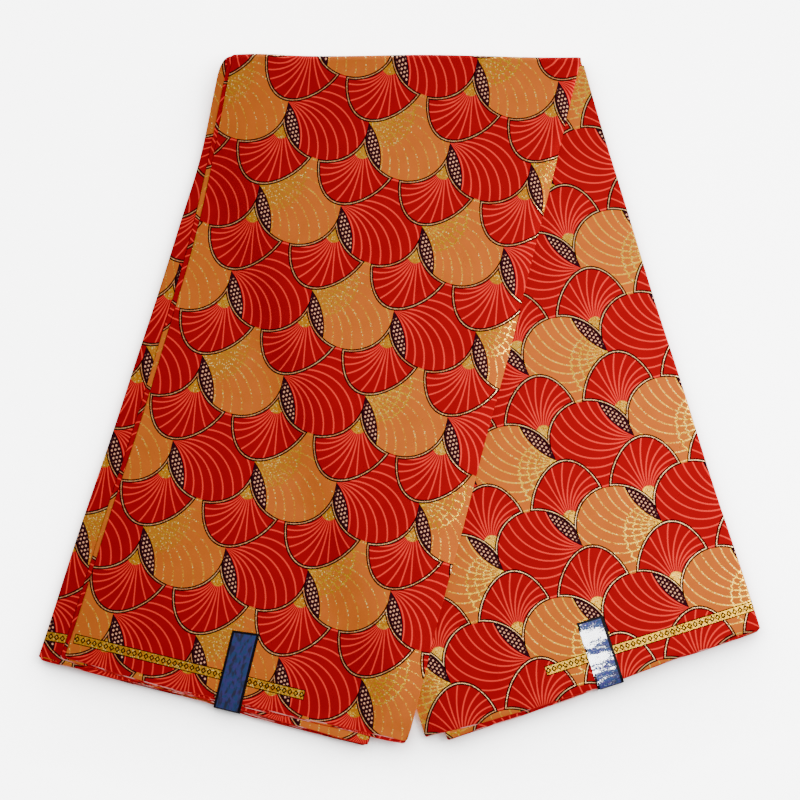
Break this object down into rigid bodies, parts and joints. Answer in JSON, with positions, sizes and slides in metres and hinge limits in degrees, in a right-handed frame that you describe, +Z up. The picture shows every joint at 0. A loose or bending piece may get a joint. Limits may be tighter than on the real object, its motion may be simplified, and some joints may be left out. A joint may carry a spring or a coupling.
{
  "type": "folded african print fabric",
  "caption": "Length of printed wax cotton, folded to and fro into a flat pile, folded once across and laid out with its two halves spread in an upturned V",
  "frame": {"origin": "under the middle of the laid-out pile, on the surface that it lies on", "axes": "+Z up from the surface; +Y towards the fold across the pile; +X to the right as seen from the hems"},
  "size_m": [0.626, 0.6117, 0.0164],
  "materials": {
    "printed_cotton": "matt plain-weave cotton, wax print in red, orange and maroon with fine gold glitter",
    "blue_foil": "dark blue metallised sticker, plain",
    "silver_foil": "crinkled silver-blue metallised sticker, plain"
  },
  "bodies": {
    "root": {"front_panel": "printed_cotton", "front_second_ply": "printed_cotton", "front_under_panel": "printed_cotton", "front_layers": "printed_cotton", "rear_panel": "printed_cotton", "rear_second_ply": "printed_cotton", "rear_layers": "printed_cotton", "front_sticker": "blue_foil", "rear_sticker": "silver_foil"}
  },
  "joints": []
}
